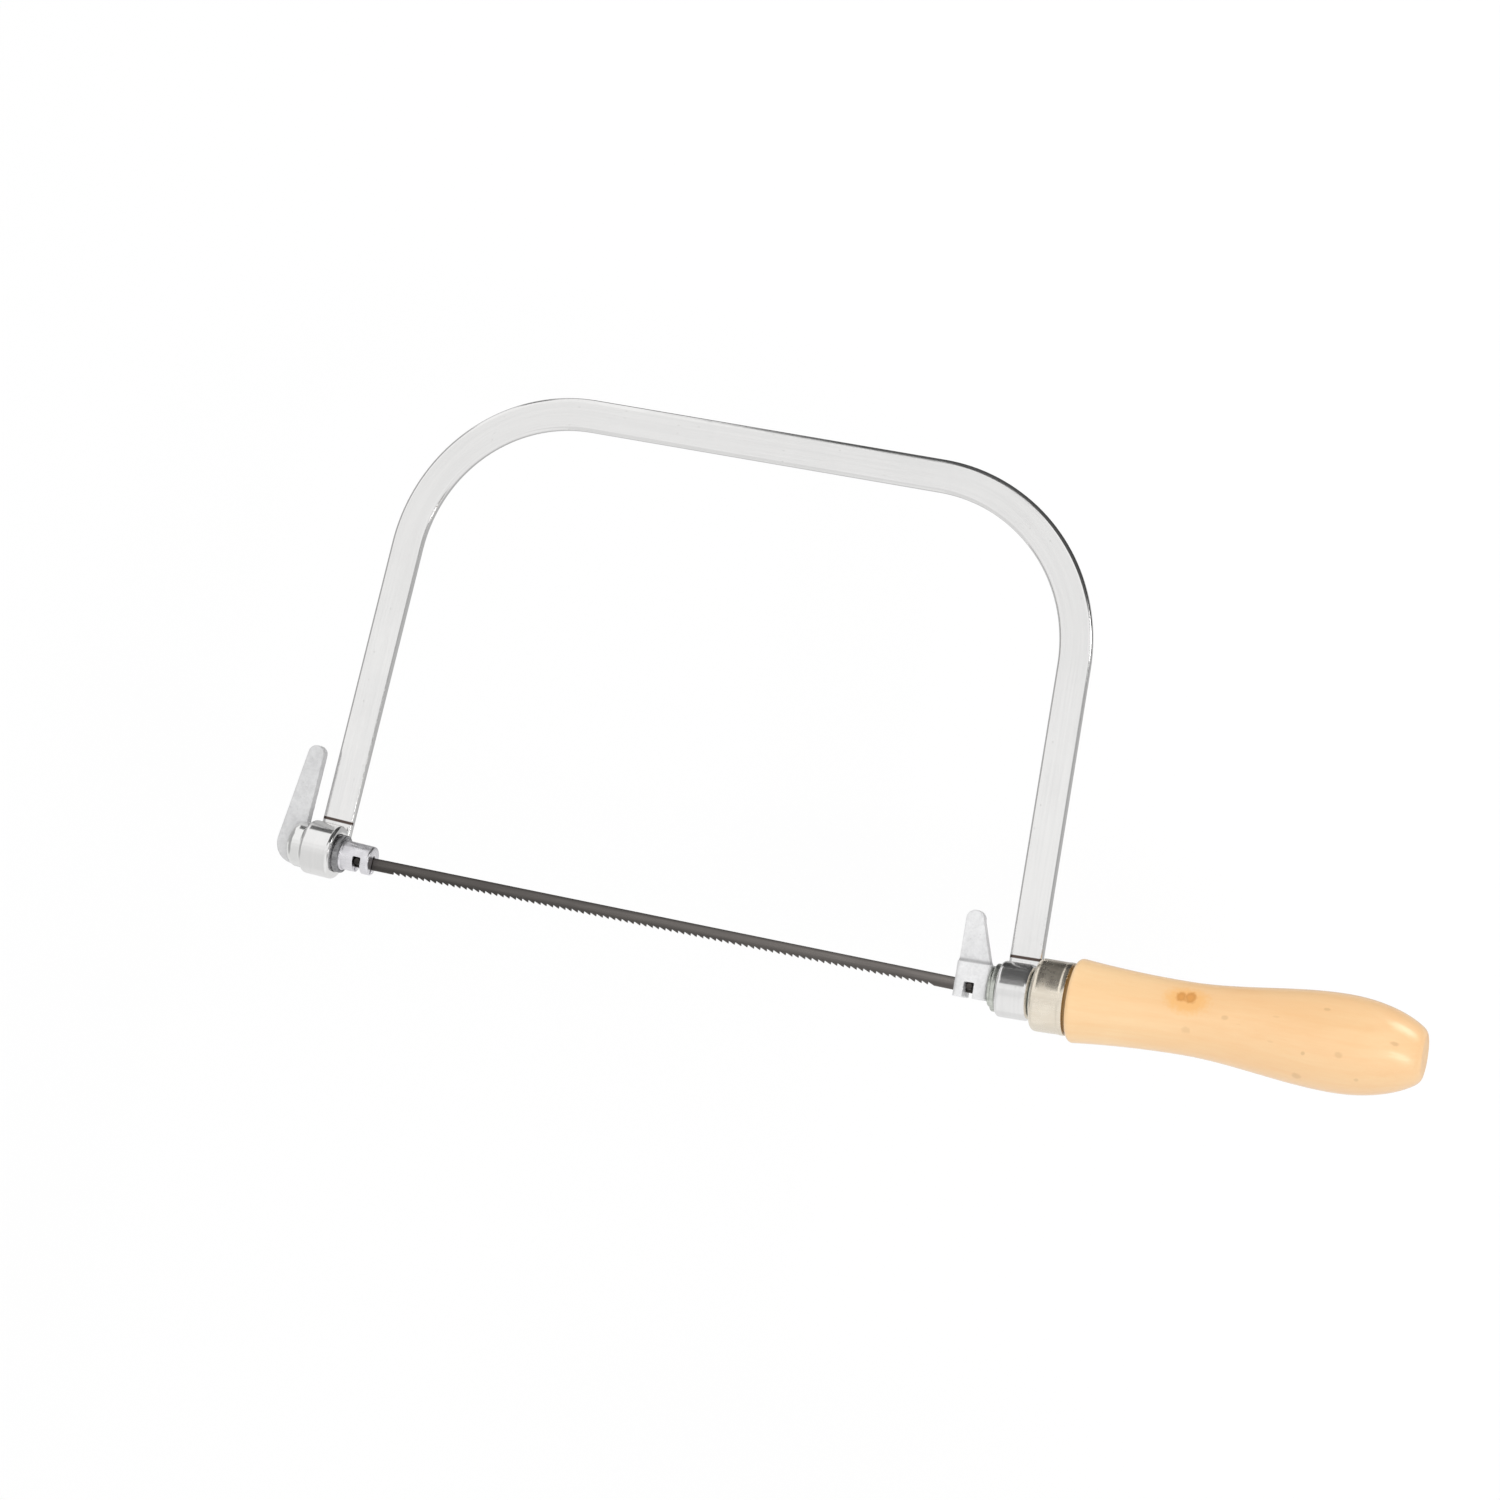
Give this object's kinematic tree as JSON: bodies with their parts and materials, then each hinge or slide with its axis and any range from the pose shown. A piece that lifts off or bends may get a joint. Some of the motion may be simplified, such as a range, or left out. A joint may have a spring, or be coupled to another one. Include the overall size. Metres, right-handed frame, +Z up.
{
  "type": "coping saw",
  "caption": "Coping saw: a deep sprung bow of flat bar holds a thin pinned blade between swivelling spigots with levers, and a turned wooden handle screws up to draw it tight.",
  "frame": {"origin": "on the spigot axis, midway between the two blade pins", "axes": "+X along the blade towards the handle, +Z up to the bow's back, +Y away from the viewer, towards the side that the bow lies on"},
  "size_m": [0.3017, 0.0242, 0.1372],
  "materials": {
    "bow_plate": "bright plated flat bar with faint rolling grain",
    "spigot_metal": "zinc plated, satin",
    "cast_zinc": "die-cast zinc, mottled satin",
    "washer_dark": "dark steel",
    "washer_pale": "zinc plated",
    "blade_steel": "hardened and blued, ground",
    "rod_steel": "threaded steel",
    "ferrule_plate": "bright plated, polished",
    "handle_wood": "pale hardwood under clear varnish"
  },
  "bodies": {
    "frame": {"bow": "bow_plate"},
    "toe_swivel": {"toe_spigot": "spigot_metal", "toe_lever": "cast_zinc", "toe_washer": "washer_dark"},
    "blade": {"blade": "blade_steel", "toe_pin": "blade_steel", "heel_pin": "blade_steel"},
    "tension_bolt": {"heel_clamp": "cast_zinc", "tension_rod": "rod_steel", "heel_washer": "washer_pale", "heel_bush": "washer_pale"},
    "thrust_washer": {"thrust_washer": "washer_pale"},
    "handle": {"handle": "handle_wood", "ferrule": "ferrule_plate", "handle_nut": "rod_steel"}
  },
  "joints": [
    {"name": "heel_turn", "type": "hinge", "parent": "frame", "child": "tension_bolt", "pos_m": [0.0825, 0, 0], "axis": [0.9992, 0, 0.0401], "continuous": true},
    {"name": "blade_turn", "type": "hinge", "parent": "frame", "child": "blade", "pos_m": [0, 0, 0], "axis": [1, 0, 0], "continuous": true},
    {"name": "toe_turn", "type": "hinge", "parent": "frame", "child": "toe_swivel", "pos_m": [-0.0825, 0, 0], "axis": [0.9992, 0, -0.0401], "continuous": true},
    {"name": "handle_draw", "type": "slide", "parent": "frame", "child": "thrust_washer", "axis": [0.9992, 0, 0.0401], "range_m": [0, 0.008]},
    {"name": "handle_turn", "type": "hinge", "parent": "thrust_washer", "child": "handle", "pos_m": [0.0825, 0, 0], "axis": [0.9992, 0, 0.0401], "range_deg": [0, 2880]}
  ],
  "couplings": [
    {"joint": "blade_turn", "follows": "heel_turn", "ratio": 1},
    {"joint": "toe_turn", "follows": "heel_turn", "ratio": 1},
    {"joint": "handle_draw", "follows": "handle_turn", "m_per_rad": 0.00015915}
  ]
}
